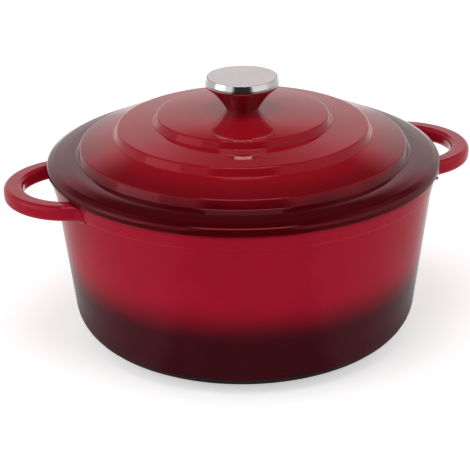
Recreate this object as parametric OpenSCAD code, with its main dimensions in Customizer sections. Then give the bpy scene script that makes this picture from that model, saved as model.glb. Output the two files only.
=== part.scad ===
/* [Pot] */
// Outside diameter of the wall at the rim
pot_d = 257.6; // [210:0.1:340]
// Height from the standing surface to the rim
pot_h = 116.4; // [70:0.1:200]
// Slope of the wall away from upright, in degrees
draft = 6.5; // [2:0.5:10]
// Thickness of the iron wall
wall_t = 4.0; // [3:0.1:7]
// Thickness of the iron floor
floor_t = 4.8; // [3.5:0.1:9]
// Outside radius between the wall and the base
base_r = 22; // [12:0.5:32]
// Height of the thicker band under the rim
band_h = 10.5; // [5:0.5:20]
// How far the band stands out from the wall
band_proud = 0.8; // [0.3:0.1:2]
// Thickness of the enamel lining
lining_t = 0.5; // [0.3:0.1:1.5]
// Depth of the bare edge between the rim and the lining
bare_rim = 1.5; // [1:0.1:4]

/* [Handles] */
// How far each handle reaches out from the wall at the rim
handle_reach = 33.4; // [28:0.1:50]
// Radius of the handle's round loop, at the middle of its bar
loop_r = 40; // [34:0.5:60]
// Width of the handle's bar, seen from above
bar_w = 12.8; // [9:0.1:16]
// Thickness of the bar, top to bottom
bar_t = 10.2; // [7:0.1:16]
// Rounding along the bar's four edges
bar_round = 3.4; // [1:0.1:4]
// Depth of the bar's top face below the rim
handle_drop = 0.9; // [0.5:0.1:8]

/* [Lid] */
// How far the lid's edge stands out over the band
lid_over = 2.4; // [1:0.1:6]
// Thickness of the iron lid
lid_t = 4.4; // [3:0.1:7]
// Height of the brim above the rim, at its root
brim_h = 9.0; // [7:0.1:14]
// Width of the brim
brim_w = 20.5; // [14:0.1:30]
// Slope of the brim down to its rolled edge, in degrees
brim_slope = 8; // [0:0.5:10]
// Heights of the three steps, from the brim inwards
step_h = [5.8, 5.3, 5.0]; // [3:0.1:8]
// Widths of the two sloping terraces between the steps
terrace_w = [22.6, 24.4]; // [14:0.1:30]
// Slopes of the terraces, and of the domed middle at its edge, in degrees
terrace_slope = [14.4, 6.0, 7.6]; // [0:0.1:20]
// How far each step leans outwards from top to bottom
step_lean = 2.4; // [1:0.1:4]
// Depth of the locating lip inside the pot
lip_depth = 4.5; // [2:0.1:10]
// Thickness of the locating lip
lip_t = 3.2; // [2:0.1:5]
// Gap between the locating lip and the pot's lining
lip_gap = 0.9; // [0.3:0.1:3]
// Width of the flat ring that shows around the knob's foot
flat_margin = 0.4; // [0.2:0.1:3]

/* [Knob] */
// Diameter of the knob at its lip
knob_d = 49.6; // [38:0.2:60]
// Height of the knob above the lid
knob_h = 22.3; // [18:0.1:32]
// Diameter of the knob's foot
foot_d = 21.6; // [18:0.1:26]
// Height of the rounded lip around the top
knob_lip_h = 6.3; // [4:0.1:9]
// Radius of the flare between the foot and the lip
flare_r = 52; // [40:1:90]
// Thickness of the knob's shell
shell_t = 1.6; // [1:0.1:2.5]
// Thickness of the brushed disc set in the top
cap_t = 1.5; // [1:0.1:3]
// Width of the bright lip around the disc
cap_inset = 1.9; // [1:0.1:4]

/* [Fastening] */
// Diameter of the screw's thread
screw_d = 6; // [4:0.5:8]
// Gap around the screw where it passes through
screw_gap = 0.35; // [0.2:0.05:1]
// Gap between the screw's thread and the bush
thread_gap = 0.05; // [0.02:0.01:0.1]
// Diameter of the screw's head
head_d = 11.8; // [9:0.1:16]
// Height of the screw's head
head_h = 3.4; // [2:0.1:6]
// Length of thread held in the bush
grip_thread = 9; // [6:0.5:12]
// Diameter of the flat washer
washer_d = 16; // [12.5:0.5:24]
// Thickness of the flat washer
washer_t = 1.2; // [0.8:0.1:2.5]
// Thickness of the lock washer
lock_t = 1.5; // [1:0.1:2.5]
// Thickness of the sealing ring under the knob
seal_t = 1.0; // [0.6:0.1:2]

/* [Hidden] */
$fn = 96;
ARC_STEPS = 8;
CUT = 1;

wall_run = tan(draft);
rim_wall_r = pot_d / 2;
rim_r = rim_wall_r + band_proud;
lid_r = rim_r + lid_over;
side_t = wall_t / cos(draft);
base_corner_r = rim_wall_r - pot_h * wall_run;
inner_r = min(base_r - wall_t, pot_h / 3);
band_edge = 0.5;
rim_round = 2.4;
least_round = 0.4;

// Radius of the bare iron wall's inside face at height z
function inside_r(z) = rim_wall_r - side_t - (pot_h - z) * wall_run;

// Outlines are lists of [radius, height, rounding]
function xy(p) = [p[0], p[1]];
function unit(v) = v / norm(v);
function heading(v) = atan2(v[1], v[0]);
function turn(a, b) = (b - a + 540) % 360 - 180;
function corner(a, b, c, r, steps) =
    let (u = unit(a - b), v = unit(c - b), half = acos(u * v) / 2,
         reach = min(r / tan(half), norm(a - b) * 0.48, norm(c - b) * 0.48),
         arc_r = reach * tan(half), centre = b + unit(u + v) * arc_r / sin(half),
         start = heading(b + u * reach - centre), sweep = turn(start, heading(b + v * reach - centre)))
    r == 0 || abs(half - 90) < 0.01 ? [b] :
    [for (i = [0:steps]) centre + arc_r * [cos(start + sweep * i / steps), sin(start + sweep * i / steps)]];
function rounded(path, steps = ARC_STEPS) =
    let (n = len(path))
    [for (i = [0:n - 1])
        each corner(xy(path[(i + n - 1) % n]), xy(path[i]), xy(path[(i + 1) % n]), path[i][2], steps)];

// An open outline moved sideways by gap, to the right of its direction of travel
function side(a, b) = let (d = unit(b - a)) [d[1], -d[0]];
function shifted(path, gap) =
    let (last = len(path) - 1)
    [for (i = [0:last])
        let (here = xy(path[i]),
             before = side(i == 0 ? here : xy(path[i - 1]), i == 0 ? xy(path[1]) : here),
             after = side(i == last ? xy(path[last - 1]) : here, i == last ? here : xy(path[i + 1])),
             mid = unit(before + after), bend = before[0] * after[1] - before[1] * after[0],
             r = path[i][2] + sign(bend) * gap, p = here + mid * gap / (mid * before))
        [max(p[0], 0), p[1], path[i][2] == 0 ? 0 : max(r, least_round)]];
function reversed(path) = [for (i = [len(path) - 1:-1:0]) path[i]];

module revolve(path) { rotate_extrude() polygon(rounded(path)); }
module ring(r_out, r_in, h) {
    difference() {
        cylinder(r = r_out, h = h);
        translate([0, 0, -CUT]) cylinder(r = r_in, h = h + 2 * CUT);
    }
}

// Inside of the iron pot, from the middle of the floor to the rim
pot_inside = [[0, floor_t, 0], [inside_r(floor_t), floor_t, inner_r], [inside_r(pot_h), pot_h, 0]];

// Handles: round loops whose inner half is buried in the wall or cut away with the pot's inside
handle_tip = rim_wall_r + handle_reach;
loop_centre = handle_tip - bar_w / 2 - loop_r;
bar_z = pot_h - handle_drop - bar_t / 2;

// Lid: top outline from the brim inwards, in heights above the rim
foot_r3 = lid_r - brim_w;
edge_r3 = foot_r3 - step_lean;
edge_z3 = brim_h + step_h[0];
foot_r2 = edge_r3 - terrace_w[0];
foot_z2 = edge_z3 + terrace_w[0] * tan(terrace_slope[0]);
edge_r2 = foot_r2 - step_lean;
edge_z2 = foot_z2 + step_h[1];
foot_r1 = edge_r2 - terrace_w[1];
foot_z1 = edge_z2 + terrace_w[1] * tan(terrace_slope[1]);
edge_r1 = foot_r1 - step_lean;
edge_z1 = foot_z1 + step_h[2];
flat_r = foot_d / 2 + flat_margin;
dome_run = edge_r1 - flat_r;
dome_rise = dome_run * tan(terrace_slope[2]) / 2;
middle_z = edge_z1 + dome_rise;
edge_round = 2.2;
foot_round = 1.8;
brim_round = 10;
roll_w = 5;
roll_h = 4.5;
roll_round = 3;
brim_end_z = brim_h - (brim_w - roll_w) * tan(brim_slope);
skirt_round = 1.2;
lip_round = 1;
steps = [[foot_r3, brim_h, foot_round], [edge_r3, edge_z3, edge_round], [foot_r2, foot_z2, foot_round],
         [edge_r2, edge_z2, edge_round], [foot_r1, foot_z1, foot_round], [edge_r1, edge_z1, edge_round]];
// The middle rises as a parabola to the flat that the knob stands on
dome = concat([for (i = [ARC_STEPS - 1:-1:0]) [flat_r + dome_run * i / ARC_STEPS,
                                               middle_z - dome_rise * pow(i / ARC_STEPS, 2), 0]],
              [[0, middle_z, 0]]);
lip_r = inside_r(pot_h - lip_depth) - lining_t - lip_gap;
lip_in_r = lip_r - lip_t;
seat_margin = 1;
under = shifted(reversed(concat([[lid_r, brim_h, 0]], steps, [[0, middle_z, 0]])), lid_t);
under_inner = [for (p = under) if (p[0] < lip_in_r - 2 * foot_round) p];
seat_r = washer_d / 2 + seat_margin;
under_z = under_inner[0][1] - seat_r * (middle_z - edge_z1) / edge_r1;
lid_under = concat([[0, under_z, 0], [seat_r, under_z, 0]],
                   [for (i = [1:len(under_inner) - 1]) under_inner[i]],
                   [[lip_in_r - foot_round, brim_h - lid_t, foot_round], [lip_in_r, -lip_depth, lip_round]]);

// Knob: heights above the lid's middle
foot_r = foot_d / 2;
knob_r = knob_d / 2;
cap_r = knob_r - cap_inset;
flare_top = knob_h - knob_lip_h;
lip_swell = 0.6;
lip_start_r = knob_r - lip_swell;
flare_chord = [lip_start_r - foot_r, flare_top];
flare_mid = [foot_r, 0] + flare_chord / 2;
flare_rise = sqrt(pow(flare_r, 2) - pow(norm(flare_chord) / 2, 2));
flare_centre = flare_mid + flare_rise * [flare_chord[1], -flare_chord[0]] / norm(flare_chord);
flare_a0 = heading([foot_r, 0] - flare_centre);
flare_a1 = heading([lip_start_r, flare_top] - flare_centre);
flare_sweep = turn(flare_a0, flare_a1);
function flare_at(gap, z) = flare_centre[0] - sqrt(pow(flare_r + gap, 2) - pow(z - flare_centre[1], 2));
function flare(gap) = [for (i = [0:ARC_STEPS]) flare_centre + (flare_r + gap)
    * [cos(flare_a0 + flare_sweep * i / ARC_STEPS), sin(flare_a0 + flare_sweep * i / ARC_STEPS)]];
knob_round = 3.6;
lip_under = 1.2;
lip_under_round = 1.5;
cap_rim = 0.5;
cap_edge = 0.3;
cap_ledge = 1.4;
bush_wall = 2.4;
bush_flange_w = 2;
bush_flange_t = 1.6;
foot_web = 1.8;
foot_ring = 1.6;
bush_r = screw_d / 2 + bush_wall;
bush_flange_r = bush_r + bush_flange_w;
foot_t = seal_t + foot_web;
bush_top = seal_t + grip_thread + bush_flange_t;
seal_r = foot_r - foot_ring;

// Screw and washers hang below the lid's middle
screw_r = screw_d / 2;
pass_r = screw_r + screw_gap;
lid_floor_z = under_z - lining_t;
head_z = lid_floor_z - washer_t - lock_t;
cross_w = 1.6;
cross_l = 6.4;
cross_depth = 2;
head_round = 1.6;
thread_end = 0.8;
thread_spare = 1;
lock_inset = 0.3;
lock_split = 1.2;

module handle() {
    h = bar_t / 2;
    w = bar_w / 2;
    translate([loop_centre, 0, bar_z]) rotate_extrude() translate([loop_r, 0])
        polygon(rounded([[-w, -h, bar_round], [w, -h, bar_round], [w, h, bar_round], [-w, h, bar_round]], 4));
}

module pot_casting() {
    band_z = pot_h - band_h;
    band_wall_r = rim_wall_r - band_h * wall_run;
    color("#a8263a") difference() {
        union() {
            revolve([[0, 0, 0], [base_corner_r, 0, base_r], [band_wall_r, band_z, 0],
                     [band_wall_r + band_proud, band_z + band_proud, band_edge], [rim_r, pot_h, rim_round],
                     [0, pot_h, 0]]);
            for (turned = [0, 180]) rotate([0, 0, turned]) handle();
        }
        revolve(concat(pot_inside, [[inside_r(pot_h + CUT), pot_h + CUT, 0], [0, pot_h + CUT, 0]]));
    }
}

module pot_lining() {
    lined_z = pot_h - bare_rim;
    outer = [pot_inside[0], pot_inside[1], [inside_r(lined_z), lined_z, 0]];
    color("#f1e7d3") revolve(concat(outer, shifted(reversed(outer), lining_t)));
}

module lid_casting() {
    lip_and_edge = [[lip_r, -lip_depth, lip_round], [lip_r, 0, 0], [lid_r, 0, skirt_round],
                    [lid_r, brim_h - roll_h, roll_round], [lid_r - roll_w, brim_end_z, brim_round]];
    color("#8f1f33") translate([0, 0, pot_h]) difference() {
        revolve(concat(lip_and_edge, steps, dome, lid_under));
        translate([0, 0, under_z - CUT]) cylinder(r = pass_r, h = middle_z - under_z + 2 * CUT);
    }
}

module lid_lining() {
    last = len(lid_under) - 1;
    lip_tip = xy(lid_under[last]);
    lip_end = lip_tip + unit(xy(lid_under[last - 1]) - lip_tip) * (lip_round + bare_rim);
    skin = concat([for (i = [0:last - 1]) lid_under[i]], [[lip_end[0], lip_end[1], 0]]);
    color("#f1e7d3") translate([0, 0, pot_h]) difference() {
        revolve(concat(skin, reversed(shifted(skin, lining_t))));
        translate([0, 0, lid_floor_z - CUT]) cylinder(r = pass_r, h = lining_t + 2 * CUT);
    }
}

module knob_seal() {
    color("#2b2b2b") translate([0, 0, pot_h + middle_z]) ring(seal_r, pass_r, seal_t);
}

module knob_shell() {
    cap_z = knob_h - cap_t;
    color("#d7d7d9") translate([0, 0, pot_h + middle_z]) difference() {
        rotate_extrude() polygon(concat([[0, 0]], flare(0), rounded([[lip_start_r, flare_top, 0],
            [knob_r, flare_top + lip_under, lip_under_round], [knob_r, knob_h - knob_round, knob_round],
            [cap_r + cap_rim, knob_h, cap_rim], [0, knob_h, 0]])));
        rotate_extrude() polygon(concat([[0, foot_t], [flare_at(shell_t, foot_t), foot_t]],
            [for (p = flare(shell_t)) if (p[1] > foot_t) p],
            [[cap_r - cap_ledge, cap_z + CUT / 2], [0, cap_z + CUT / 2]]));
        translate([0, 0, cap_z]) cylinder(r = cap_r, h = cap_t + CUT);
        translate([0, 0, -CUT]) cylinder(r = seal_r, h = seal_t + CUT);
        cylinder(r = bush_r, h = foot_t + CUT);
    }
}

module knob_cap() {
    color("#c9c7c7") translate([0, 0, pot_h + middle_z + knob_h - cap_t])
        revolve([[0, 0, 0], [cap_r, 0, 0], [cap_r, cap_t, cap_edge], [0, cap_t, 0]]);
}

module knob_bush() {
    color("#b8b8bc") translate([0, 0, pot_h + middle_z]) difference() {
        union() {
            translate([0, 0, seal_t]) cylinder(r = bush_r, h = bush_top - seal_t);
            translate([0, 0, foot_t]) cylinder(r = bush_flange_r, h = bush_flange_t);
        }
        translate([0, 0, seal_t - CUT]) cylinder(r = screw_r + thread_gap, h = grip_thread + CUT);
    }
}

module knob_screw() {
    shank_top = middle_z + seal_t + grip_thread - thread_spare;
    color("#c4c4c8") translate([0, 0, pot_h]) difference() {
        revolve([[0, head_z - head_h, 0], [head_d / 2, head_z - head_h, head_round], [head_d / 2, head_z, 0],
                 [screw_r, head_z, 0], [screw_r, shank_top, thread_end], [0, shank_top, 0]]);
        for (turned = [0, 90]) rotate([0, 0, turned])
            translate([-cross_l / 2, -cross_w / 2, head_z - head_h - CUT])
                cube([cross_l, cross_w, cross_depth + CUT]);
    }
}

module lock_washer() {
    color("#8d8d92") translate([0, 0, pot_h + head_z]) difference() {
        ring(head_d / 2 - lock_inset, pass_r, lock_t);
        translate([0, -lock_split / 2, -CUT]) cube([head_d, lock_split, lock_t + 2 * CUT]);
    }
}

module flat_washer() {
    color("#b8b8bc") translate([0, 0, pot_h + head_z + lock_t]) ring(washer_d / 2, pass_r, washer_t);
}

pot_casting();
pot_lining();
lid_casting();
lid_lining();
knob_seal();
knob_shell();
knob_cap();
knob_bush();
knob_screw();
lock_washer();
flat_washer();
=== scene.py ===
"""An enamelled cast iron dutch oven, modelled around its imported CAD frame."""

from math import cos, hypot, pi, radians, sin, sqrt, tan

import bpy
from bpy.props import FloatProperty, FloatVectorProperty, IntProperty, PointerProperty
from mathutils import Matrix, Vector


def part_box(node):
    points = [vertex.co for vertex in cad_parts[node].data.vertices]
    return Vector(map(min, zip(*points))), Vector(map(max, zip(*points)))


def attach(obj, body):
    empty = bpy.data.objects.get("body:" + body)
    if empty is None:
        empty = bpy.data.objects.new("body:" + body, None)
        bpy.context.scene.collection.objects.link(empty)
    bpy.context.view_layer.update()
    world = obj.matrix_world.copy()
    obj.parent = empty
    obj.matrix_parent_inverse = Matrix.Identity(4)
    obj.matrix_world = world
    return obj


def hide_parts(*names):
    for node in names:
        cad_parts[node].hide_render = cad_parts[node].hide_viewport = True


bl_info = {
    "name": "Enamelled Dutch Oven",
    "version": (1, 0, 0),
    "blender": (4, 5, 0),
    "location": "3D View > Sidebar > Dutch Oven",
    "description": "Makes a round enamelled dutch oven with loop handles, a stepped lid and a steel knob",
    "category": "Add Mesh",
}

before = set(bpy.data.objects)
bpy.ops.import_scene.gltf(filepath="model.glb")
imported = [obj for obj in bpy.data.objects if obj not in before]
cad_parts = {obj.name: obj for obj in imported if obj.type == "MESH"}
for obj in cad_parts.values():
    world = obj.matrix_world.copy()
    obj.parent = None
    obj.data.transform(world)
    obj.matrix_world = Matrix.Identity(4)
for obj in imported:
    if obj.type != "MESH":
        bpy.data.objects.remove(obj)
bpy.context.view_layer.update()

MM = 0.001
MERGE = 0.002 * MM
POT_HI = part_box("pot_casting")[1]
POT_LINING_LO, POT_LINING_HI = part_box("pot_lining")
LID_LO, LID_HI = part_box("lid_casting")
LID_LINING_LO, LID_LINING_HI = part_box("lid_lining")
SHELL_LO, SHELL_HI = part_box("knob_shell")
CAP_LO, CAP_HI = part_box("knob_cap")
BUSH_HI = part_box("knob_bush")[1]
SEAL_LO, SEAL_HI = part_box("knob_seal")
SCREW_LO, SCREW_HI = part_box("knob_screw")
LOCK_LO, LOCK_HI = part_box("lock_washer")
FLAT_LO, FLAT_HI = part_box("flat_washer")
RIM_Z = POT_HI.z
BAR_STEPS = 150
KNOB_SEGMENTS = 128
RING_SEGMENTS = 96
SPLIT_RING_SEGMENTS = 90
STEEL_CREASE = radians(40)
ENAMEL_CREASE = radians(50)
LID_CREASE = radians(60)


# Sizes and colours


def size(name, description, default):
    """A length in metres that a user may change."""
    return FloatProperty(name=name, description=description, default=default, min=0.0,
                         subtype="DISTANCE", unit="LENGTH", precision=4)


def slope(name, description, degrees):
    """An angle that a user may change."""
    return FloatProperty(name=name, description=description, default=radians(degrees),
                         subtype="ANGLE", unit="ROTATION")


def colour(name, description, default):
    """A colour that a user may change, in linear red, green and blue."""
    return FloatVectorProperty(name=name, description=description, default=default, size=3,
                               subtype="COLOR", min=0.0, max=1.0)


def share(name, description, default):
    """A number from 0 to 1 that a user may change."""
    return FloatProperty(name=name, description=description, default=default, min=0.0, max=1.0)


class PotSizes(bpy.types.PropertyGroup):
    """Sizes of the pot and its lining."""

    wall_d: size("Wall diameter", "Outside diameter of the wall at the rim", 257.6 * MM)
    height: size("Height", "Height of the rim above the table", RIM_Z)
    draft: slope("Draft", "Slope of the wall away from upright", 6.5)
    wall: size("Wall", "Thickness of the wall", 4.0 * MM)
    floor: size("Floor", "Thickness of the floor", POT_LINING_LO.z)
    base_round: size("Base rounding", "Radius between the wall and the base", 22 * MM)
    band_h: size("Band height", "Height of the thicker band under the rim", 10.5 * MM)
    band_proud: size("Band step", "How far the band stands out from the wall", 0.8 * MM)
    band_round: size("Band rounding", "Rounding of the band's lower edge", 0.5 * MM)
    rim_round: size("Rim rounding", "Rounding of the rim's outer edge", 2.4 * MM)
    rim_inner_round: size("Inner rim rounding", "Rounding of the rim's inner edge", 0.6 * MM)
    lining: size("Lining", "Thickness of the enamel lining", 0.5 * MM)


class HandleSizes(bpy.types.PropertyGroup):
    """Sizes of the two loop handles."""

    loop_r: size("Loop radius", "Radius of the loop at the middle of its bar", 40 * MM)
    bar_w: size("Bar width", "Width of the bar seen from above", 12.8 * MM)
    bar_t: size("Bar thickness", "Thickness of the bar from top to bottom", 10.2 * MM)
    bar_round: size("Bar rounding", "Rounding along the bar's edges", 3.4 * MM)
    drop: size("Drop", "Depth of the bar's top face below the rim", 0.9 * MM)
    root: size("Root fillet", "Fillet between the bar and the wall", 4.5 * MM)
    sunk: size("Sunk", "How deep the bar's ends sit in the wall", 1.5 * MM)
    reach: slope("Reach", "How far the loop turns from its tip to each end", 118.0)


class LidSizes(bpy.types.PropertyGroup):
    """Sizes of the lid and its lining."""

    brim_h: size("Brim height", "Height of the brim's root above the rim", 9.0 * MM)
    brim_w: size("Brim width", "Width of the brim", 20.5 * MM)
    brim_slope: slope("Brim slope", "Slope of the brim down to its rolled edge", 8.0)
    brim_crown: size("Brim crown", "How far the brim swells above a straight slope", 0.5 * MM)
    step_3: size("Outer step", "Height of the outer step", 5.8 * MM)
    step_2: size("Middle step", "Height of the middle step", 5.3 * MM)
    step_1: size("Inner step", "Height of the inner step", 5.0 * MM)
    terrace_3: size("Outer terrace", "Width of the outer terrace", 22.6 * MM)
    terrace_2: size("Inner terrace", "Width of the inner terrace", 24.4 * MM)
    slope_3: slope("Outer slope", "Slope of the outer terrace", 14.4)
    slope_2: slope("Inner slope", "Slope of the inner terrace", 6.0)
    slope_1: slope("Middle slope", "Slope of the domed middle at its edge", 7.6)
    step_lean: size("Step lean", "How far a step leans outwards from top to bottom", 2.4 * MM)
    edge_round: size("Edge rounding", "Rounding of each step's top edge", 2.2 * MM)
    foot_round: size("Foot rounding", "Fillet at each step's foot", 1.8 * MM)
    iron: size("Iron", "Thickness of the lid", 4.4 * MM)
    roll_w: size("Roll width", "Width of the rolled edge around the brim", 5.0 * MM)
    roll_h: size("Roll height", "How far the rolled edge falls", 4.5 * MM)
    roll_round: size("Roll rounding", "Rounding of the rolled edge's outer side", 3.0 * MM)
    brim_round: size("Brim rounding", "Rounding between the brim and its rolled edge", 10.0 * MM)
    crown_round: size("Crown rounding", "Rounding of the brim's crown", 50.0 * MM)
    skirt_round: size("Skirt rounding", "Rounding of the skirt's lower edge", 1.2 * MM)
    lip_t: size("Lip", "Thickness of the locating lip", 3.2 * MM)
    lip_round: size("Lip rounding", "Rounding of the locating lip's lower edges", 1.0 * MM)
    lip_lean: size("Lip lean", "How far the lining leans in towards the lip's lower edge", 0.3 * MM)
    lip_gap: size("Lip gap", "Gap between the locating lip and the pot's lining", 0.9 * MM)
    seat_margin: size("Seat margin", "How far the flat seat runs past the plain washer", 1.0 * MM)
    flat_margin: size("Flat margin", "Width of the flat ring around the knob's foot", 0.4 * MM)
    bore_r: size("Bore", "Radius of the screw's hole", 3.35 * MM)


class KnobSizes(bpy.types.PropertyGroup):
    """Sizes of the knob and what fastens it."""

    foot_r: size("Foot radius", "Radius of the knob's foot", 10.8 * MM)
    lip_h: size("Lip height", "Height of the rounded lip around the top", 6.3 * MM)
    lip_round: size("Lip rounding", "Rounding of the lip's upper side", 3.6 * MM)
    lip_proud: size("Lip step", "How far the lip stands out past the flare", 0.6 * MM)
    lip_rise: size("Lip rise", "Height over which the lip's lower side steps out", 1.2 * MM)
    lip_under: size("Lip under", "Rounding of the lip's lower side", 1.5 * MM)
    rim_w: size("Disc rim", "Width of the rounded rim around the disc", 0.5 * MM)
    rim_round: size("Disc rim rounding", "Rounding of the rim around the disc", 0.6 * MM)
    groove_w: size("Groove width", "Width of the fine groove around the disc", 0.12 * MM)
    groove_d: size("Groove depth", "Depth of the fine groove around the disc", 0.35 * MM)
    ledge: size("Ledge", "Width of the ledge that the disc lies on", 1.4 * MM)
    flare_r: size("Flare radius", "Radius of the curve between foot and lip", 52 * MM)
    shell: size("Shell", "Thickness of the knob's shell", 1.6 * MM)
    web: size("Web", "Thickness of the web in the foot", 1.8 * MM)
    flange_w: size("Bush flange", "Width of the bush's flange", 2.0 * MM)
    screw_r: size("Screw radius", "Radius of the screw's shank", 3.0 * MM)
    head_h: size("Screw head", "Height of the screw's head", 3.4 * MM)
    head_round: size("Head rounding", "Rounding of the screw's head", 1.6 * MM)
    tip_round: size("Tip rounding", "Rounding of the screw's tip", 0.8 * MM)
    cross_w: size("Cross width", "Width of the screwdriver's cross", 1.6 * MM)
    cross_l: size("Cross length", "Length of the screwdriver's cross", 6.4 * MM)
    cross_d: size("Cross depth", "Depth of the screwdriver's cross", 2.0 * MM)
    split: size("Split", "Gap in the lock washer", 1.2 * MM)


class Finishes(bpy.types.PropertyGroup):
    """Colours and gloss."""

    red: colour("Red enamel", "Colour of the pot's upper wall, band and handles", (0.385, 0.010, 0.027))
    maroon: colour("Maroon enamel", "Colour of the pot's lower wall", (0.05, 0.0065, 0.010))
    lid_red: colour("Lid red", "Colour of the lid's middle", (0.35, 0.006, 0.014))
    lid_maroon: colour("Lid maroon", "Colour of the lid's brim and skirt", (0.068, 0.001, 0.003))
    cream: colour("Lining", "Colour of the enamel lining", (0.80, 0.72, 0.58))
    iron: colour("Bare rim", "Colour of the matt rim that the lid rests on", (0.022, 0.02, 0.02))
    steel: colour("Steel", "Colour of the polished steel", (0.66, 0.64, 0.63))
    brushed: colour("Brushed steel", "Colour of the brushed steel", (0.76, 0.735, 0.74))
    rubber: colour("Seal", "Colour of the seal", (0.02, 0.02, 0.021))
    fade_top: size("Fade top", "Height at which the wall is fully red", 69 * MM)
    fade_bottom: size("Fade bottom", "Height below which the wall is fully maroon", 38 * MM)
    gloss: share("Enamel roughness", "Roughness of the glossy enamel", 0.035)


class StageSizes(bpy.types.PropertyGroup):
    """The camera and the studio."""

    camera_x: FloatProperty(name="Camera X", default=-0.2585, unit="LENGTH", precision=4,
                            description="Place of the camera along X")
    camera_y: FloatProperty(name="Camera Y", default=-0.8650, unit="LENGTH", precision=4,
                            description="Place of the camera along Y")
    camera_z: FloatProperty(name="Camera Z", default=0.45715, unit="LENGTH", precision=4,
                            description="Height of the camera")
    pitch: slope("Pitch", "How far the camera looks down", 23.717)
    turn: slope("Turn", "Direction of the view, right of +Y", 16.237)
    roll: slope("Roll", "How far the camera is rolled", -0.913)
    lens: FloatProperty(name="Lens", default=109.05, min=10.0, description="Focal length in millimetres")
    segments: IntProperty(name="Segments", default=256, min=32, max=512,
                          description="Number of facets around a round piece")


GROUPS = {"oven_pot": PotSizes, "oven_handle": HandleSizes, "oven_lid": LidSizes, "oven_knob": KnobSizes,
          "oven_finish": Finishes, "oven_stage": StageSizes}


# Outlines: lists of (radius, height, rounding) in metres


def rounded(corners, closed, steps=7):
    """The outline's points, with each corner turned into an arc of its own rounding."""
    points = []
    count = len(corners)
    for i, (r, z, rounding) in enumerate(corners):
        here = Vector((r, z))
        if rounding == 0 or (not closed and i in (0, count - 1)):
            points.append(here)
            continue
        before = Vector(corners[i - 1][:2]) - here
        after = Vector(corners[(i + 1) % count][:2]) - here
        half = before.angle(after) / 2
        reach = min(rounding / tan(half), before.length * 0.48, after.length * 0.48)
        arc_r = reach * tan(half)
        centre = here + (before.normalized() + after.normalized()).normalized() * arc_r / sin(half)
        start = here + before.normalized() * reach - centre
        sweep = start.angle_signed(here + after.normalized() * reach - centre)
        for k in range(steps + 1):
            turn = Matrix.Rotation(-sweep * k / steps, 2)
            points.append(centre + turn @ start)
    return points


def offset(points, gap):
    """An open run of points moved sideways by gap, to the right of its direction of travel."""
    moved = []
    for i, here in enumerate(points):
        back = points[max(i - 1, 0)]
        ahead = points[min(i + 1, len(points) - 1)]
        along = (ahead - back).normalized()
        moved.append(Vector((max(here.x + along.y * gap, 0.0), here.y - along.x * gap)))
    return moved


# Modelling with operators


def start_fresh():
    """Leaves edit mode and deselects everything."""
    if bpy.context.object and bpy.context.object.mode != "OBJECT":
        bpy.ops.object.mode_set(mode="OBJECT")
    bpy.ops.object.select_all(action="DESELECT")


def settle(name):
    """Names the active object and brings its place into its mesh."""
    piece = bpy.context.object
    bpy.ops.object.transform_apply(location=True, rotation=True, scale=True)
    piece.name = name
    piece.data.name = name
    return piece


def spun(name, points, closed, angle=2 * pi, segments=None):
    """Draws an outline in the XZ plane point by point and spins it about the Z axis."""
    start_fresh()
    first = points[0]
    bpy.ops.mesh.primitive_plane_add(size=MM, location=(first.x, 0, first.y))
    piece = settle(name)
    bpy.ops.object.mode_set(mode="EDIT")
    bpy.ops.mesh.select_all(action="SELECT")
    bpy.ops.mesh.merge(type="CENTER")
    path = points + [first] if closed else points
    for here, ahead in zip(path, path[1:]):
        step = ahead - here
        bpy.ops.mesh.extrude_region_move(TRANSFORM_OT_translate={"value": (step.x, 0, step.y)})
    bpy.ops.mesh.select_all(action="SELECT")
    bpy.ops.mesh.remove_doubles(threshold=MERGE)
    bpy.ops.mesh.spin(steps=segments or bpy.context.scene.oven_stage.segments, angle=angle,
                      center=(0, 0, 0), axis=(0, 0, 1))
    bpy.ops.mesh.select_all(action="SELECT")
    bpy.ops.mesh.remove_doubles(threshold=MERGE)
    bpy.ops.mesh.normals_make_consistent(inside=False)
    bpy.ops.object.mode_set(mode="OBJECT")
    return piece


def add_modifier(piece, kind, **settings):
    """Adds one modifier to the piece and applies it."""
    start_fresh()
    bpy.context.view_layer.objects.active = piece
    piece.select_set(True)
    modifier = piece.modifiers.new(kind.lower(), kind)
    for key, value in settings.items():
        setattr(modifier, key, value)
    bpy.ops.object.modifier_apply(modifier=modifier.name)
    return piece


def smooth(piece, sharp=None):
    """Smooth shading with normals weighted by face area, so that flat stretches stay flat."""
    start_fresh()
    bpy.context.view_layer.objects.active = piece
    piece.select_set(True)
    if sharp is None:
        bpy.ops.object.shade_smooth()
    else:
        bpy.ops.object.shade_smooth_by_angle(angle=sharp)
    return add_modifier(piece, "WEIGHTED_NORMAL", weight=50, keep_sharp=sharp is not None)


def finish_piece(piece, node, body, material):
    """Gives a piece its material and its body, and hides the CAD node it stands for."""
    piece.data.materials.clear()
    piece.data.materials.append(material)
    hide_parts(node)
    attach(piece, body)
    return piece


# Materials


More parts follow.
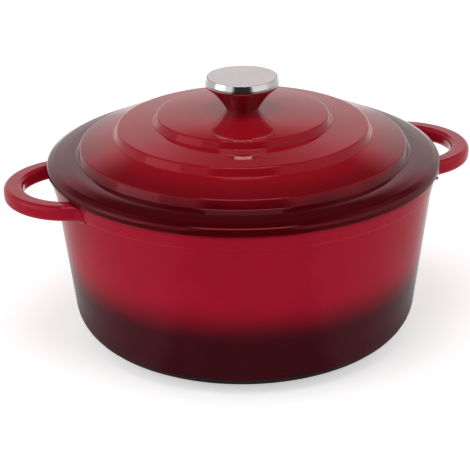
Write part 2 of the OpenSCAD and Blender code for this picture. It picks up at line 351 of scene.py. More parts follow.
class Nodes:
    """A short way to build one node tree."""

    def __init__(self, tree):
        self.tree = tree
        tree.nodes.clear()

    def add(self, kind, inputs=None, **settings):
        node = self.tree.nodes.new(kind)
        for key, value in settings.items():
            setattr(node, key, value)
        for key, value in (inputs or {}).items():
            if isinstance(value, bpy.types.NodeSocket):
                self.tree.links.new(value, node.inputs[key])
            else:
                node.inputs[key].default_value = value
        return node

    def math(self, operation, a, b=0.0, clamp=False):
        return self.add("ShaderNodeMath", {0: a, 1: b}, operation=operation, use_clamp=clamp).outputs[0]

    def vector(self, operation, *values):
        return self.add("ShaderNodeVectorMath", dict(enumerate(values)), operation=operation)

    def radius(self, place):
        """Distance of a place from the Z axis."""
        flat = self.vector("MULTIPLY", place, (1, 1, 0)).outputs[0]
        return self.vector("LENGTH", flat).outputs["Value"]

    def ease(self, value, low, high, to_low=0.0, to_high=1.0):
        """A smooth step of value between low and high."""
        inputs = {"Value": value, "From Min": low, "From Max": high, "To Min": to_low, "To Max": to_high}
        return self.add("ShaderNodeMapRange", inputs, interpolation_type="SMOOTHSTEP").outputs[0]

    def noise(self, vector, scale, detail=2.0, roughness=0.5):
        inputs = {"Vector": vector, "Scale": scale, "Detail": detail, "Roughness": roughness}
        return self.add("ShaderNodeTexNoise", inputs).outputs["Fac"]

    def mix(self, factor, a, b):
        node = self.add("ShaderNodeMix", data_type="RGBA")
        for socket, value in zip((node.inputs[0], node.inputs[6], node.inputs[7]), (factor, a, b)):
            if isinstance(value, bpy.types.NodeSocket):
                self.tree.links.new(value, socket)
            else:
                socket.default_value = value
        return node.outputs[2]


def new_material(name):
    """A material with an empty node tree, its object coordinates and its shader."""
    material = bpy.data.materials.new(name)
    material.use_nodes = True
    nodes = Nodes(material.node_tree)
    place = nodes.add("ShaderNodeTexCoord").outputs["Object"]
    shader = nodes.add("ShaderNodeBsdfPrincipled")
    output = nodes.add("ShaderNodeOutputMaterial")
    nodes.tree.links.new(shader.outputs[0], output.inputs[0])
    return material, nodes, place, shader


def rgba(colour_value, gain=1.0):
    """A colour setting as four numbers."""
    return (*[min(1.0, c * gain) for c in colour_value], 1.0)


def surface(nodes, shader, colour_socket, roughness, bump_height=None, bump=0.0, depth=0.0):
    """Links the colour, roughness and bump of a shader."""
    nodes.tree.links.new(colour_socket, shader.inputs["Base Color"])
    nodes.tree.links.new(roughness, shader.inputs["Roughness"])
    if bump_height is not None:
        raised = nodes.add("ShaderNodeBump", {"Height": bump_height, "Strength": bump, "Distance": depth})
        nodes.tree.links.new(raised.outputs[0], shader.inputs["Normal"])


def enamel(name, stops, along):
    """Glossy enamel whose colour fades along height or radius; stops are (place, colour)."""
    finish = bpy.context.scene.oven_finish
    material, nodes, place, shader = new_material(name)
    if along == "height":
        where = nodes.add("ShaderNodeSeparateXYZ", {"Vector": place}).outputs["Z"]
    else:
        where = nodes.radius(place)
    drift = nodes.noise(place, 26.0, detail=5.0, roughness=0.6)
    shifted = nodes.math("ADD", where, nodes.math("MULTIPLY", nodes.math("SUBTRACT", drift, 0.5), 6 * MM))
    tone = rgba(stops[0][1])
    for (low, _), (high, shade) in zip(stops, stops[1:]):
        tone = nodes.mix(nodes.ease(shifted, low, high), tone, rgba(shade))
    cloud = nodes.noise(place, 45.0, detail=3.0)
    tone = nodes.mix(nodes.math("MULTIPLY", cloud, 0.16), tone, (0.0, 0.0, 0.0, 1.0))
    wear = nodes.noise(place, 120.0, detail=3.0)
    roughness = nodes.ease(wear, 0.3, 0.7, finish.gloss * 0.8, finish.gloss * 1.25)
    peel = nodes.noise(place, 260.0, detail=1.0)
    surface(nodes, shader, tone, roughness, peel, 0.02, 0.3 * MM)
    shader.inputs["IOR"].default_value = 1.5
    shader.inputs["Specular Tint"].default_value = (1.0, 0.2, 0.26, 1.0)
    return material


def lining_enamel():
    """Cream enamel with a few fine specks."""
    finish = bpy.context.scene.oven_finish
    material, nodes, place, shader = new_material("cream_enamel")
    specks = nodes.ease(nodes.noise(place, 900.0, detail=0.0), 0.74, 0.8)
    cloud = nodes.noise(place, 30.0, detail=3.0)
    tone = nodes.mix(cloud, rgba(finish.cream), rgba(finish.cream, 0.9))
    tone = nodes.mix(nodes.math("MULTIPLY", specks, 0.4), tone, (0.25, 0.18, 0.12, 1.0))
    roughness = nodes.ease(nodes.noise(place, 90.0), 0.3, 0.7, 0.1, 0.16)
    surface(nodes, shader, tone, roughness, nodes.noise(place, 200.0, detail=1.0), 0.05, 0.3 * MM)
    return material


def matt_rim():
    """Matt dark enamel of the rim, slightly grainy."""
    finish = bpy.context.scene.oven_finish
    material, nodes, place, shader = new_material("matt_rim")
    grain = nodes.noise(place, 1400.0, detail=3.0)
    tone = nodes.mix(grain, rgba(finish.iron, 0.7), rgba(finish.iron, 1.5))
    surface(nodes, shader, tone, nodes.ease(grain, 0.2, 0.8, 0.45, 0.65), grain, 0.3, 0.1 * MM)
    return material


def polished_steel():
    """Mirror-polished steel with faint polishing haze."""
    finish = bpy.context.scene.oven_finish
    material, nodes, place, shader = new_material("polished_steel")
    haze = nodes.noise(place, 150.0, detail=4.0)
    tone = nodes.mix(haze, rgba(finish.steel), rgba(finish.steel, 0.95))
    surface(nodes, shader, tone, nodes.ease(haze, 0.3, 0.7, 0.08, 0.13))
    shader.inputs["Metallic"].default_value = 1.0
    return material


def brushed_steel(name, strength, low, high):
    """Steel turned or brushed in circles about the Z axis."""
    finish = bpy.context.scene.oven_finish
    material, nodes, place, shader = new_material(name)
    line = nodes.add("ShaderNodeCombineXYZ", {"X": nodes.radius(place), "Y": 0.0, "Z": 0.0}).outputs[0]
    brush = nodes.noise(line, 5200.0, detail=4.0, roughness=0.7)
    patch = nodes.noise(place, 60.0)
    tone = nodes.mix(brush, rgba(finish.brushed, 0.9), rgba(finish.brushed, 1.08))
    blend = nodes.math("ADD", nodes.math("MULTIPLY", brush, 0.8), nodes.math("MULTIPLY", patch, 0.2))
    surface(nodes, shader, tone, nodes.ease(blend, 0.3, 0.7, low, high), brush, strength, 0.02 * MM)
    shader.inputs["Metallic"].default_value = 1.0
    return material


def rubber():
    """Dull dark rubber."""
    finish = bpy.context.scene.oven_finish
    material, nodes, place, shader = new_material("seal_rubber")
    grain = nodes.noise(place, 2200.0, detail=2.0)
    tone = nodes.mix(grain, rgba(finish.rubber, 0.8), rgba(finish.rubber, 1.4))
    surface(nodes, shader, tone, nodes.ease(grain, 0.2, 0.8, 0.5, 0.7), grain, 0.2, 0.05 * MM)
    return material


# Outlines of the castings


def wall_radius(pot, z):
    """Outside radius of the plain wall at height z."""
    return pot.wall_d / 2 - (pot.height - z) * tan(pot.draft)


def inside_radius(pot, z):
    """Radius of the bare iron wall's inside face at height z."""
    return wall_radius(pot, z) - pot.wall / cos(pot.draft)


def pot_outline(pot):
    """The iron pot, from the middle of its base round to the middle of its floor."""
    band_z = pot.height - pot.band_h
    band_r = wall_radius(pot, band_z)
    rim_r = pot.wall_d / 2 + pot.band_proud
    inner_round = pot.base_round - pot.wall
    base = [(0, 0, 0), (wall_radius(pot, 0), 0, pot.base_round)]
    band = [(band_r, band_z, pot.band_round),
            (band_r + pot.band_proud, band_z + pot.band_proud, pot.band_round),
            (rim_r, pot.height, pot.rim_round)]
    inside = [(inside_radius(pot, pot.height), pot.height, pot.rim_inner_round),
              (inside_radius(pot, pot.floor), pot.floor, inner_round), (0, pot.floor, 0)]
    return rounded(base + band + inside, closed=False, steps=9)


def pot_lining_outline(pot):
    """The lining, out along the iron and back along its own inner face."""
    top = POT_LINING_HI.z
    iron = [(0, pot.floor, 0), (inside_radius(pot, pot.floor), pot.floor, pot.base_round - pot.wall),
            (inside_radius(pot, top), top, 0)]
    outer = rounded(iron, closed=False, steps=12)
    inner = offset(outer, -pot.lining)
    inner[0].x = 0.0
    inner[-1].y = top
    return outer + inner[::-1]


def lid_levels(lid):
    """The lid's top outline from the brim inwards, as corners above the rim."""
    corners = []
    r = LID_HI.x - lid.brim_w
    z = lid.brim_h
    stretches = ((lid.step_3, lid.terrace_3, lid.slope_3), (lid.step_2, lid.terrace_2, lid.slope_2),
                 (lid.step_1, 0.0, lid.slope_1))
    for step, terrace, lean in stretches:
        corners += [(r, RIM_Z + z, lid.foot_round), (r - lid.step_lean, RIM_Z + z + step, lid.edge_round)]
        r -= lid.step_lean + terrace
        z += step + terrace * tan(lean)
    return corners


def lid_dome(lid, knob, steps=24):
    """The lid's middle: a parabola from its edge up to the flat that the knob stands on."""
    edge_r, edge_z, _ = lid_levels(lid)[-1]
    flat_r = knob.foot_r + lid.flat_margin
    run = edge_r - flat_r
    rise = run * tan(lid.slope_1) / 2
    shares = [k / steps for k in range(steps - 1, -1, -1)]
    return [(flat_r + run * part, edge_z + rise * (1 - part ** 2), 0) for part in shares]


def under_corners(lid, knob):
    """The lid's underside from the screw's seat out to the lip."""
    inner_r = lip_radius(lid) - lid.lip_t
    sharp = 0.4 * MM
    top = [Vector(c[:2]) for c in lid_levels(lid)]
    rounds = [lid.foot_round + lid.iron if i % 2 == 0 else sharp for i in range(len(top))][::-1]
    run = [Vector((0, lid_dome(lid, knob)[-1][1]))] + top[::-1] + [Vector((LID_HI.x, RIM_Z + lid.brim_h))]
    corners = []
    for i, rounding in enumerate(rounds, start=1):
        before = (run[i] - run[i - 1]).normalized()
        after = (run[i + 1] - run[i]).normalized()
        across = Vector((before.y, -before.x))
        side = (across + Vector((after.y, -after.x))).normalized()
        place = run[i] + side * lid.iron / (side @ across)
        if place.x < inner_r - 2 * lid.foot_round:
            corners.append((place.x, place.y, rounding))
    return corners, inner_r


def lip_radius(lid):
    """Outside radius of the locating lip, from the lining's inside at the lip's depth."""
    pot = bpy.context.scene.oven_pot
    return inside_radius(pot, LID_LO.z) - pot.lining - lid.lip_gap


def lid_outline(lid, knob):
    """The lid's closed outline, round its skirt, up over the steps, down the bore and back outside."""
    lip_r = lip_radius(lid)
    brim = RIM_Z + lid.brim_h
    brim_end = brim - (lid.brim_w - lid.roll_w) * tan(lid.brim_slope)
    skirt = [(lip_r, LID_LO.z, lid.lip_round), (lip_r, RIM_Z, 0), (LID_HI.x, RIM_Z, lid.skirt_round),
             (LID_HI.x, brim - lid.roll_h, lid.roll_round),
             (LID_HI.x - lid.roll_w, brim_end, lid.brim_round)]
    middle = lid_dome(lid, knob)
    bore = [(lid.bore_r, middle[-1][1], 0.3 * MM)]
    under, inner_r = under_corners(lid, knob)
    seat_z = LID_LINING_HI.z
    below = [(lid.bore_r, seat_z, 0), (FLAT_HI.x + lid.seat_margin, seat_z, 0)] + under
    lip = [(inner_r - lid.foot_round, brim - lid.iron, lid.foot_round), (inner_r, LID_LO.z, lid.lip_round)]
    crown_r = LID_HI.x - (lid.brim_w + lid.roll_w) / 2
    crown = [(crown_r, (brim + brim_end) / 2 + lid.brim_crown, lid.crown_round)]
    return rounded(skirt + crown + lid_levels(lid) + middle + bore + below + lip, closed=True, steps=9)


def lid_lining_outline(lid):
    """The lining under the lid, from the screw's hole out and down the lip, and back."""
    under, inner_r = under_corners(lid, bpy.context.scene.oven_knob)
    seat_z = LID_LINING_HI.z
    brim = RIM_Z + lid.brim_h
    end_z = LID_LINING_LO.z
    iron = [(lid.bore_r, seat_z, 0), (FLAT_HI.x + lid.seat_margin, seat_z, 0)] + under
    iron += [(inner_r - lid.foot_round, brim - lid.iron, lid.foot_round), (inner_r - lid.lip_lean, end_z, 0)]
    outer = rounded(iron, closed=False, steps=7)
    inner = offset(outer, bpy.context.scene.oven_pot.lining)
    inner[0].x = lid.bore_r
    inner[-1].y = end_z
    return outer + inner[::-1]


# Operators


def bar_tube(pot, handle):
    """One handle's bar: a rounded section spun about the loop's own axis."""
    tip = POT_HI.x
    centre_x = tip - handle.bar_w / 2 - handle.loop_r
    bar_z = pot.height - handle.drop - handle.bar_t / 2
    start_fresh()
    start = (tip - handle.bar_w / 2, 0, bar_z)
    bpy.ops.mesh.primitive_plane_add(size=1, location=start, rotation=(pi / 2, 0, 0))
    bpy.ops.transform.resize(value=(handle.bar_w, handle.bar_w, handle.bar_t))
    piece = settle("handle_bar")
    bpy.ops.object.mode_set(mode="EDIT")
    bpy.ops.mesh.select_all(action="SELECT")
    bpy.ops.mesh.bevel(offset=handle.bar_round, segments=6, affect="VERTICES")
    bpy.ops.mesh.select_all(action="SELECT")
    bpy.ops.transform.rotate(value=handle.reach, orient_axis="Z", center_override=(centre_x, 0, bar_z))
    bpy.ops.mesh.select_all(action="SELECT")
    bpy.ops.mesh.spin(steps=BAR_STEPS, angle=-2 * handle.reach, center=(centre_x, 0, bar_z), axis=(0, 0, 1))
    bpy.ops.mesh.select_all(action="SELECT")
    bpy.ops.mesh.remove_doubles(threshold=MERGE)
    bpy.ops.mesh.normals_make_consistent(inside=False)
    bpy.ops.object.mode_set(mode="OBJECT")
    return piece


def flare_roots(piece, pot, handle):
    """Swells the bar into a fillet where it meets the wall, and not on its top."""
    flat_top = 0.75
    band_z = pot.height - pot.band_h
    for vertex in piece.data.vertices:
        wall = wall_radius(pot, vertex.co.z)
        if vertex.co.z > band_z:
            wall += pot.band_proud
        gap = max(hypot(vertex.co.x, vertex.co.y) - wall, 0.0)
        if gap < handle.root:
            swell = handle.root - sqrt(handle.root ** 2 - (handle.root - gap) ** 2)
            under = min(1.0, max(0.0, (flat_top - vertex.normal.z) / flat_top))
            vertex.co += vertex.normal * swell * under
    return piece


def wall_core(pot, handle):
    """A solid core just inside the wall's outer face, which trims the bars' ends."""
    low = pot.height - 4 * handle.bar_t
    high = pot.height + handle.bar_t
    corners = [(0, low, 0), (wall_radius(pot, low) - handle.sunk, low, 0),
               (wall_radius(pot, high) - handle.sunk, high, 0), (0, high, 0)]
    return spun("wall_core", rounded(corners, closed=False), closed=False)


class OVEN_OT_pot(bpy.types.Operator):
    """Makes the iron pot with its band, its rim and its two loop handles"""

    bl_idname = "oven.pot"
    bl_label = "Pot"

    def execute(self, context):
        pot = context.scene.oven_pot
        handle = context.scene.oven_handle
        finish = context.scene.oven_finish
        body = spun("pot", pot_outline(pot), closed=False)
        smooth(body)
        self.handles(context, body, pot, handle)
        stops = [(finish.fade_bottom, finish.maroon), (finish.fade_top, finish.red)]
        finish_piece(body, "pot_casting", "pot", enamel("red_fading_enamel", stops, "height"))
        self.bare_rim(body, pot)
        return {"FINISHED"}

    def handles(self, context, body, pot, handle):
        """Joins a handle, and its copy turned half round, to the pot."""
        core = wall_core(pot, handle)
        bar = flare_roots(bar_tube(pot, handle), pot, handle)
        add_modifier(bar, "BOOLEAN", operation="DIFFERENCE", object=core, solver="MANIFOLD")
        bpy.data.objects.remove(core)
        smooth(bar, sharp=ENAMEL_CREASE)
        start_fresh()
        bar.select_set(True)
        context.view_layer.objects.active = bar
        bpy.ops.object.duplicate()
        other = context.object
        bpy.ops.transform.rotate(value=pi, orient_axis="Z", center_override=(0, 0, 0))
        bpy.ops.object.transform_apply(location=True, rotation=True, scale=True)
        start_fresh()
        for part in (bar, other, body):
            part.select_set(True)
        context.view_layer.objects.active = body
        bpy.ops.object.join()

    def bare_rim(self, body, pot):
        """Gives the matt finish to the rim's flat top and to the iron behind the lining."""
        body.data.materials.append(matt_rim())
        rim_inner_r = inside_radius(pot, pot.height)
        rim_outer_r = pot.wall_d / 2 - 0.2 * MM
        rim_low = pot.height - 0.4 * MM
        skin = 0.5 * MM
        for face in body.data.polygons:
            z = face.center.z
            r = hypot(face.center.x, face.center.y)
            on_top = z > rim_low and r < rim_outer_r
            inside = z > pot.floor and r < min(inside_radius(pot, z) + skin, rim_inner_r)
            if on_top or inside:
                face.material_index = 1


class OVEN_OT_pot_lining(bpy.types.Operator):
    """Makes the cream enamel lining inside the pot"""

    bl_idname = "oven.pot_lining"
    bl_label = "Pot lining"

    def execute(self, context):
        lining = spun("pot_enamel_lining", pot_lining_outline(context.scene.oven_pot), closed=False)
        smooth(lining, sharp=ENAMEL_CREASE)
        finish_piece(lining, "pot_lining", "pot", lining_enamel())
        return {"FINISHED"}


class OVEN_OT_lid(bpy.types.Operator):
    """Makes the stepped iron lid with its brim, rolled edge, skirt and lip"""

    bl_idname = "oven.lid"
    bl_label = "Lid"

    def execute(self, context):
        lid = context.scene.oven_lid
        knob = context.scene.oven_knob
        finish = context.scene.oven_finish
        body = spun("lid", lid_outline(lid, knob), closed=True)
        smooth(body, sharp=LID_CREASE)
        outer_foot_r, outer_edge_r, terrace_foot_r = [corner[0] for corner in lid_levels(lid)[:3]]
        between = [0.5 * (a + b) for a, b in zip(finish.lid_red, finish.lid_maroon)]
        stops = [(terrace_foot_r - 2 * MM, finish.lid_red), (outer_edge_r - 1 * MM, between),
                 (outer_foot_r + 1 * MM, finish.lid_maroon)]
        finish_piece(body, "lid_casting", "lid", enamel("lid_fading_enamel", stops, "radius"))
        return {"FINISHED"}


class OVEN_OT_lid_lining(bpy.types.Operator):
    """Makes the cream enamel lining under the lid"""

    bl_idname = "oven.lid_lining"
    bl_label = "Lid lining"

    def execute(self, context):
        lining = spun("lid_enamel_lining", lid_lining_outline(context.scene.oven_lid), closed=True)
        smooth(lining, sharp=ENAMEL_CREASE)
        finish_piece(lining, "lid_lining", "lid", bpy.data.materials["cream_enamel"])
        return {"FINISHED"}


def flare_points(knob, gap, steps=16):
    """The knob's concave flare from foot to lip, moved outwards by gap."""
    lip_start = Vector((SHELL_HI.x - knob.lip_proud, SHELL_HI.z - knob.lip_h))
    foot = Vector((knob.foot_r, SHELL_LO.z))
    chord = lip_start - foot
    rise = sqrt(knob.flare_r ** 2 - (chord.length / 2) ** 2)
    centre = (foot + lip_start) / 2 + Vector((chord.y, -chord.x)).normalized() * rise
    start = foot - centre
    sweep = start.angle_signed(lip_start - centre)
    scale = (knob.flare_r + gap) / knob.flare_r
    return [centre + Matrix.Rotation(-sweep * k / steps, 2) @ start * scale for k in range(steps + 1)]


def knob_outline(knob):
    """The knob's closed outline: foot, flare, lip, seat of the disc, hollow and web."""
    top = SHELL_HI.z
    edge_r = SHELL_HI.x
    cap_r = CAP_HI.x
    bush_r = BUSH_HI.x - knob.flange_w
    web_z = SEAL_HI.z + knob.web
    outer = flare_points(knob, 0.0)
    flare_top = outer[-1].y
    lip = [(outer[-1].x, flare_top, 0), (edge_r, flare_top + knob.lip_rise, knob.lip_under),
           (edge_r, top - knob.lip_round, knob.lip_round), (cap_r + knob.rim_w, top, knob.rim_round),
           (cap_r + knob.groove_w, top - knob.groove_d, 0.2 * MM), (cap_r, CAP_LO.z, 0),
           (cap_r - knob.ledge, CAP_LO.z, 0)]
    hollow = [p for p in flare_points(knob, knob.shell) if p.y > web_z][::-1]
    foot = [(hollow[-1].x, web_z, 0), (bush_r, web_z, 0), (bush_r, SEAL_HI.z, 0), (SEAL_HI.x, SEAL_HI.z, 0),
            (SEAL_HI.x, SHELL_LO.z, 0), (knob.foot_r, SHELL_LO.z, 0)]
    return outer[1:-1] + rounded(lip, closed=False, steps=8) + hollow + rounded(foot, closed=False)


class OVEN_OT_knob(bpy.types.Operator):
    """Makes the flared knob and the disc in its top"""

    bl_idname = "oven.knob"
    bl_label = "Knob"

    def execute(self, context):
        knob = context.scene.oven_knob
        shell = spun("knob", knob_outline(knob), closed=True, segments=KNOB_SEGMENTS)
        smooth(shell, sharp=STEEL_CREASE)
        finish_piece(shell, "knob_shell", "lid", polished_steel())
        edge = 0.3 * MM
        disc = [(0, CAP_LO.z, 0), (CAP_HI.x, CAP_LO.z, 0), (CAP_HI.x, CAP_HI.z, edge), (0, CAP_HI.z, 0)]
        cap = spun("knob_disc", rounded(disc, closed=False), closed=False, segments=KNOB_SEGMENTS)
        smooth(cap, sharp=STEEL_CREASE)
        brushed = brushed_steel("circle_brushed_steel", 0.35, 0.24, 0.36)
        finish_piece(cap, "knob_cap", "lid", brushed)
        return {"FINISHED"}


def ring_outline(inner_r, low, high, roundings):
    """A ring's section in its frame box; roundings in millimetres, from its lower inner corner out."""
    corners = ((inner_r, low.z), (high.x, low.z), (high.x, high.z), (inner_r, high.z))
    return [(r, z, rounding * MM) for (r, z), rounding in zip(corners, roundings)]


class OVEN_OT_fastening(bpy.types.Operator):
    """Makes the seal, the screw and the two washers, and gives the knob's bush its finish"""

    bl_idname = "oven.fastening"
    bl_label = "Fastening"

    def execute(self, context):
        knob = context.scene.oven_knob
        lid = context.scene.oven_lid
        turned = brushed_steel("turned_steel", 0.4, 0.22, 0.34)
        ring = ring_outline(lid.bore_r, SEAL_LO, SEAL_HI, (0, 0.25, 0.25, 0))
        seal = spun("seal_ring", rounded(ring, closed=True), closed=True, segments=RING_SEGMENTS)
        smooth(seal, sharp=STEEL_CREASE)
        finish_piece(seal, "knob_seal", "lid", rubber())
        washer = ring_outline(lid.bore_r, FLAT_LO, FLAT_HI, (0.15, 0.3, 0.15, 0.1))
        washer = rounded(washer, closed=True, steps=4)
        flat = spun("plain_washer", washer, closed=True, segments=RING_SEGMENTS)
        smooth(flat, sharp=STEEL_CREASE)
        finish_piece(flat, "flat_washer", "lid", turned)
        spring = ring_outline(lid.bore_r, LOCK_LO, LOCK_HI, (0.15, 0.2, 0.2, 0.15))
        self.lock_washer(rounded(spring, closed=True, steps=4), knob, turned)
        self.screw(knob, turned)
        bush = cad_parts["knob_bush"]
        bush.data.materials.clear()
        bush.data.materials.append(turned)
        return {"FINISHED"}

    def lock_washer(self, outline, knob, material):
        """A ring with a gap, its two ends closed."""
        gap = 2 * knob.split / (LOCK_HI.x + knob.screw_r)
        ring = spun("split_washer", outline, closed=True, angle=2 * pi - gap, segments=SPLIT_RING_SEGMENTS)
        bpy.context.view_layer.objects.active = ring
        bpy.ops.object.mode_set(mode="EDIT")
        bpy.ops.mesh.select_all(action="DESELECT")
        bpy.ops.mesh.select_non_manifold()
        bpy.ops.mesh.edge_face_add()
        bpy.ops.mesh.select_all(action="SELECT")
        bpy.ops.transform.rotate(value=gap / 2, orient_axis="Z", center_override=(0, 0, 0))
        bpy.ops.mesh.normals_make_consistent(inside=False)
        bpy.ops.object.mode_set(mode="OBJECT")
        smooth(ring, sharp=STEEL_CREASE)
        finish_piece(ring, "lock_washer", "lid", material)

    def screw(self, knob, material):
        """A pan head with a cross recess, and its shank."""
        head_top = SCREW_LO.z + knob.head_h
        outline = [(0, SCREW_LO.z, 0), (SCREW_HI.x, SCREW_LO.z, knob.head_round),
                   (SCREW_HI.x, head_top, 0.2 * MM), (knob.screw_r, head_top, 0),
                   (knob.screw_r, SCREW_HI.z, knob.tip_round), (0, SCREW_HI.z, 0)]
        body = spun("screw", rounded(outline, closed=False), closed=False, segments=RING_SEGMENTS)
        for turn in (0, pi / 2):
            start_fresh()
            bpy.ops.mesh.primitive_cube_add(size=1, location=(0, 0, SCREW_LO.z), rotation=(0, 0, turn))
            bar = (knob.cross_l, knob.cross_w, 2 * knob.cross_d)
            bpy.ops.transform.resize(value=bar, orient_type="LOCAL")
            cutter = settle("cross")
            add_modifier(body, "BOOLEAN", operation="DIFFERENCE", object=cutter, solver="EXACT")
            bpy.data.objects.remove(cutter)
        smooth(body, sharp=STEEL_CREASE)
        finish_piece(body, "knob_screw", "lid", material)


class OVEN_OT_stage(bpy.types.Operator):
    """Makes the pale floor, the soft studio light and the camera"""

    bl_idname = "oven.stage"
    bl_label = "Stage"

    def execute(self, context):
        stage = context.scene.oven_stage
        context.scene.view_settings.view_transform = "Standard"
        self.camera(context, stage)
        self.floor(stage)
        self.world(context, stage)
        self.lights(stage)
        return {"FINISHED"}

    def camera(self, context, stage):
        data = bpy.data.cameras.new("camera")
        camera = bpy.data.objects.new("camera", data)
        context.scene.collection.objects.link(camera)
        data.lens = stage.lens
        data.sensor_width = 36.0
        data.clip_start = 0.01
        data.clip_end = 50.0
        level = cos(stage.pitch)
        look = Vector((sin(stage.turn) * level, cos(stage.turn) * level, -sin(stage.pitch)))
        facing = look.to_track_quat("-Z", "Y").to_matrix() @ Matrix.Rotation(stage.roll, 3, "Z")
        place = (stage.camera_x, stage.camera_y, stage.camera_z)
        camera.matrix_world = Matrix.Translation(place) @ facing.to_4x4()
        context.scene.camera = camera

    def away(self, nodes, way, stage):
        """How far a direction points away from the camera, from -1 to 1."""
        flat = nodes.vector("MULTIPLY", way, (1, 1, 0)).outputs[0]
        level = nodes.vector("NORMALIZE", flat).outputs[0]
        behind = (sin(stage.turn), cos(stage.turn), 0)
        return nodes.vector("DOT_PRODUCT", level, behind).outputs["Value"]

    def floor_glow(self, nodes, way, stage):
        """Brightness of the floor's painted reflection, and of the world below the horizon: dark in front,
        bright behind.
        """
        away = self.away(nodes, way, stage)
        behind = nodes.math("POWER", nodes.math("MAXIMUM", away, 0.0), 2.0)
        near = nodes.ease(away, -0.9, -0.8, 0.02, 0.24)
        beside = nodes.math("ADD", near, nodes.ease(away, -0.8, 0.3, 0.0, 0.16))
        return nodes.math("ADD", beside, nodes.math("MULTIPLY", behind, 0.85))

    def warmth(self, nodes, away, height):
        """Colour of the studio's light: white, but rosy high up behind the pot."""
        rosy = nodes.math("MULTIPLY", nodes.ease(away, 0.2, 0.7), nodes.ease(height, 0.38, 0.48))
        return nodes.mix(rosy, (1.0, 1.0, 1.0, 1.0), (1.3, 0.74, 0.82, 1.0))

    def floor(self, stage):
        """A white floor that glows a little; in reflections it shows a painted glow instead, with a painted
        shadow that darkens it near the pot.
        """
        start_fresh()
        bpy.ops.mesh.primitive_plane_add(size=12, location=(0, 0, 0))
        floor = settle("floor")
        material = bpy.data.materials.new("pale_floor")
        material.use_nodes = True
        nodes = Nodes(material.node_tree)
        matt = nodes.add("ShaderNodeBsdfDiffuse", {"Color": (0.9, 0.9, 0.9, 1.0)})
        glow = nodes.add("ShaderNodeEmission", {"Color": (1.0, 1.0, 1.0, 1.0), "Strength": 0.5})
        both = nodes.add("ShaderNodeAddShader", {0: matt.outputs[0], 1: glow.outputs[0]})
        place = nodes.add("ShaderNodeTexCoord").outputs["Object"]
        # painted shadow: in reflections the floor's glow fades almost to nothing near the pot, where the
        # pot's shade would fall
        far = nodes.vector("LENGTH", place).outputs["Value"]
        painted_shadow_fade = nodes.ease(far, 0.095, 0.15, 0.05, 1.0)
        low = nodes.math("MULTIPLY", self.floor_glow(nodes, place, stage), painted_shadow_fade)
        # painted reflection: glossy rays see this glow in place of the lit floor
        painted_reflection_glow = nodes.add("ShaderNodeEmission", {"Color": (1.0, 1.0, 1.0, 1.0), "Strength": low})
        seen = nodes.add("ShaderNodeLightPath").outputs["Is Glossy Ray"]
        mixed = nodes.add("ShaderNodeMixShader", {0: seen, 1: both.outputs[0], 2: painted_reflection_glow.outputs[0]})
        nodes.add("ShaderNodeOutputMaterial", {"Surface": mixed.outputs[0]})
        floor.data.materials.append(material)

    def world(self, context, stage):
        """A bright horizon behind and beside the pot, dark overhead and towards the front."""
        world = bpy.data.worlds.new("studio")
        context.scene.world = world
        world.use_nodes = True
        nodes = Nodes(world.node_tree)
        way = nodes.add("ShaderNodeTexCoord").outputs["Generated"]
        away = self.away(nodes, way, stage)
        height = nodes.add("ShaderNodeSeparateXYZ", {"Vector": way}).outputs["Z"]
        # bright cards to the left and right
        rise = nodes.ease(away, -0.93, -0.75, 0.03, 1.4)
        sides = nodes.math("SUBTRACT", rise, nodes.ease(away, -0.5, 0.1, 0.0, 0.7))
        sides = nodes.math("SUBTRACT", sides, nodes.ease(away, 0.5, 0.9, 0.0, 0.7), clamp=True)
        sides = nodes.math("MULTIPLY", sides, nodes.ease(height, 0.78, 0.95, 1.0, 0.05))
        # a card behind, which fades upwards
        fall = nodes.ease(height, 0.42, 0.6, 1.0, 0.08)
        fall = nodes.math("MULTIPLY", fall, nodes.ease(height, 0.8, 0.95, 1.0, 0.3))
        back = nodes.math("MULTIPLY", nodes.ease(away, 0.5, 0.95, 0.0, 0.85), fall)
        high = nodes.math("ADD", sides, back)
        # the floor's glow below the horizon
        above = nodes.ease(height, -0.04, 0.06)
        upper = nodes.math("MULTIPLY", high, above)
        below = nodes.math("SUBTRACT", 1.0, above)
        lower = nodes.math("MULTIPLY", self.floor_glow(nodes, way, stage), below)
        glow = nodes.math("ADD", upper, lower)
        # the background itself is seen plain white
        tint = self.warmth(nodes, away, height)
        light = nodes.add("ShaderNodeBackground", {"Color": tint, "Strength": glow})
        white = nodes.add("ShaderNodeBackground", {"Color": (1, 1, 1, 1), "Strength": 1.0})
        seen = nodes.add("ShaderNodeLightPath").outputs["Is Camera Ray"]
        both = nodes.add("ShaderNodeMixShader", {0: seen, 1: light.outputs[0], 2: white.outputs[0]})
        nodes.add("ShaderNodeOutputWorld", {"Surface": both.outputs[0]})

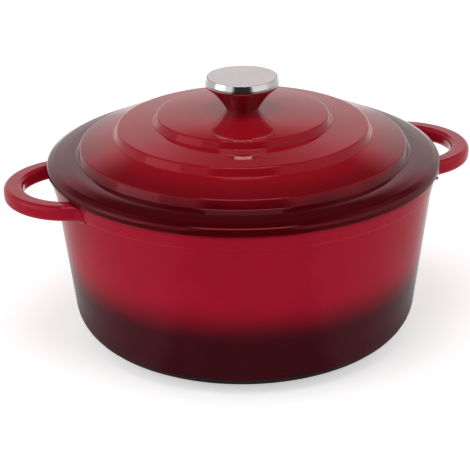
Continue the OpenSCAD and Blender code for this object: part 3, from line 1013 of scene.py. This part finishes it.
    def lights(self, stage):
        """Two softboxes: a large one overhead, and a dim one to the left."""
        middle = Vector((0, 0, RIM_Z))
        boxes = (("overhead", 0.0, 82.0, 1.5, 0.85, 0.85, 7.9),
                 ("left", 75.0, 25.0, 1.6, 1.0, 0.9, 3.0))
        for name, around, above, distance, width, height, watts in boxes:
            turn = stage.turn + radians(around)
            tilt = radians(above)
            back = Vector((-sin(turn) * cos(tilt), -cos(turn) * cos(tilt), sin(tilt)))
            data = bpy.data.lights.new(name, "AREA")
            data.shape = "RECTANGLE"
            data.size = width
            data.size_y = height
            data.energy = watts
            lamp = bpy.data.objects.new(name, data)
            bpy.context.scene.collection.objects.link(lamp)
            facing = (-back).to_track_quat("-Z", "Y").to_matrix().to_4x4()
            lamp.matrix_world = Matrix.Translation(middle + back * distance) @ facing


class OVEN_PT_panel(bpy.types.Panel):
    """Lists the pieces and their sizes"""

    bl_idname = "OVEN_PT_panel"
    bl_label = "Dutch Oven"
    bl_space_type = "VIEW_3D"
    bl_region_type = "UI"
    bl_category = "Dutch Oven"

    def draw(self, context):
        for operator in OPERATORS:
            self.layout.operator(operator.bl_idname)
        for name, group in GROUPS.items():
            box = self.layout.box()
            box.label(text=group.__name__)
            for key in group.__annotations__:
                box.prop(getattr(context.scene, name), key)


OPERATORS = (OVEN_OT_stage, OVEN_OT_pot, OVEN_OT_pot_lining, OVEN_OT_lid, OVEN_OT_lid_lining, OVEN_OT_knob,
             OVEN_OT_fastening)


def register():
    for cls in (*GROUPS.values(), *OPERATORS, OVEN_PT_panel):
        bpy.utils.register_class(cls)
    for name, group in GROUPS.items():
        setattr(bpy.types.Scene, name, PointerProperty(type=group))


def unregister():
    for name in GROUPS:
        delattr(bpy.types.Scene, name)
    for cls in reversed((*GROUPS.values(), *OPERATORS, OVEN_PT_panel)):
        bpy.utils.unregister_class(cls)


def main():
    register()
    bpy.ops.oven.stage()
    bpy.ops.oven.pot()
    bpy.ops.oven.pot_lining()
    bpy.ops.oven.lid()
    bpy.ops.oven.lid_lining()
    bpy.ops.oven.knob()
    bpy.ops.oven.fastening()


if __name__ == "__main__":
    main()
